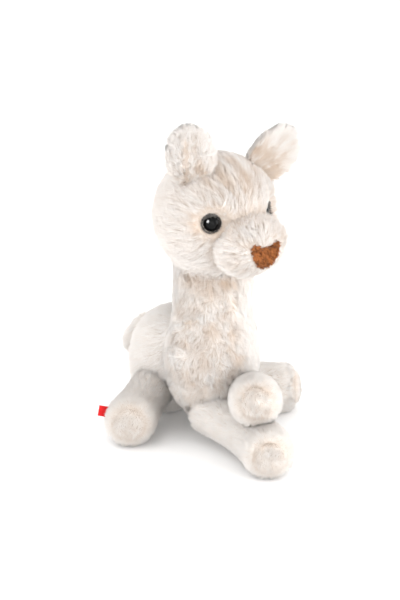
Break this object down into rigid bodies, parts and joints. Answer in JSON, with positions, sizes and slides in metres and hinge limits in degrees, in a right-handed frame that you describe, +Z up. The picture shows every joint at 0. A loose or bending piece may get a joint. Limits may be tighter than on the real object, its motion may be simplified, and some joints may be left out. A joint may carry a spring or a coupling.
{
  "type": "plush alpaca",
  "caption": "Sitting plush alpaca with a tall neck, cupped ears, glossy domed eyes, a sewn brown nose, round sole pads and a small plain red label.",
  "frame": {"origin": "middle of the footprint's bounding box, at the level of the floor the toy sits on", "axes": "+X to the toy's left, -Y the way the toy faces, +Z up"},
  "size_m": [0.19, 0.2312, 0.2857],
  "materials": {
    "fur_cream": "long soft pile, cream with tan depths",
    "sole_plush": "short pile",
    "nose_brown": "short brown pile",
    "eye_gloss": "polished black",
    "eye_washer": "plain white moulding",
    "label_red": "plain woven ribbon"
  },
  "bodies": {
    "root": {"body": "fur_cream", "head": "fur_cream", "muzzle": "fur_cream", "ear_left": "fur_cream", "ear_right": "fur_cream", "foreleg_left": "fur_cream", "foreleg_right": "fur_cream", "hindleg_left": "fur_cream", "hindleg_right": "fur_cream", "tail": "fur_cream", "sole_foreleg_left": "sole_plush", "sole_foreleg_right": "sole_plush", "sole_hindleg_left": "sole_plush", "sole_hindleg_right": "sole_plush", "nose": "nose_brown", "eye_left": "eye_gloss", "eye_right": "eye_gloss", "eye_washer_left": "eye_washer", "eye_washer_right": "eye_washer", "label": "label_red"}
  },
  "joints": []
}
